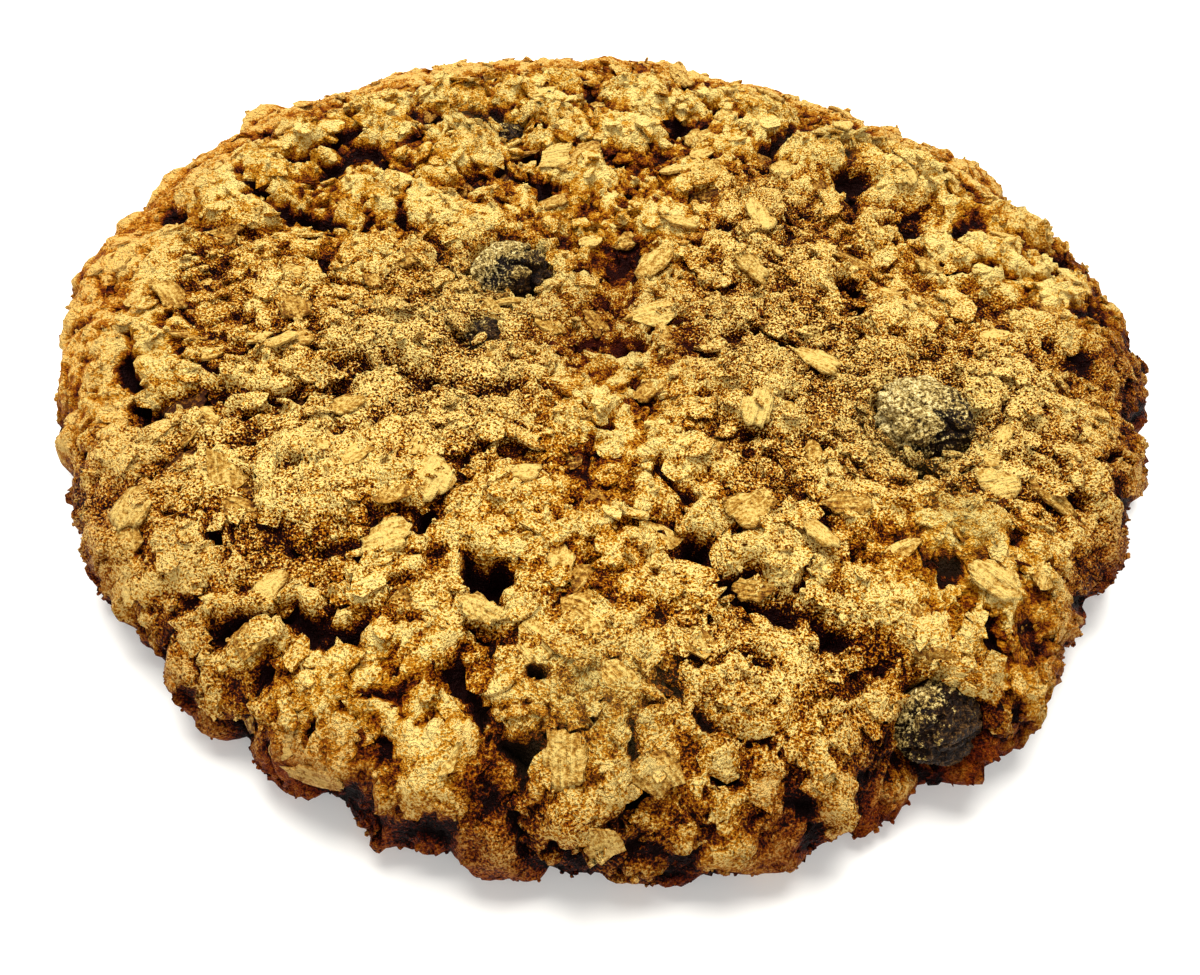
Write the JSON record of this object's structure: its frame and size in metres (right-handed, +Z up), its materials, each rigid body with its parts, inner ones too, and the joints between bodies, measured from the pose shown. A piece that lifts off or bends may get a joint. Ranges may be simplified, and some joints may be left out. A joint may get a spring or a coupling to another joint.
{
  "type": "oatmeal raisin cookie",
  "caption": "Round craggy baked cookie with a flat underside, oat flakes in its crust and raisins set in pockets.",
  "frame": {"origin": "centre of the cookie's bounding box in plan, on the plane of its flat underside", "axes": "+Z up through the cookie's thickness, -Y towards the side that faces the viewer in the picture, +X to the viewer's right"},
  "size_m": [0.1146, 0.1142, 0.0158],
  "materials": {
    "dough": "golden brown baked oat dough, rough and matt",
    "raisin": "near-black wrinkled dried grape, slightly glossy"
  },
  "bodies": {
    "root": {"cookie": "dough", "raisin_centre": "raisin", "raisin_right": "raisin", "raisin_front": "raisin", "raisin_small": "raisin", "raisin_back": "raisin"}
  },
  "joints": []
}
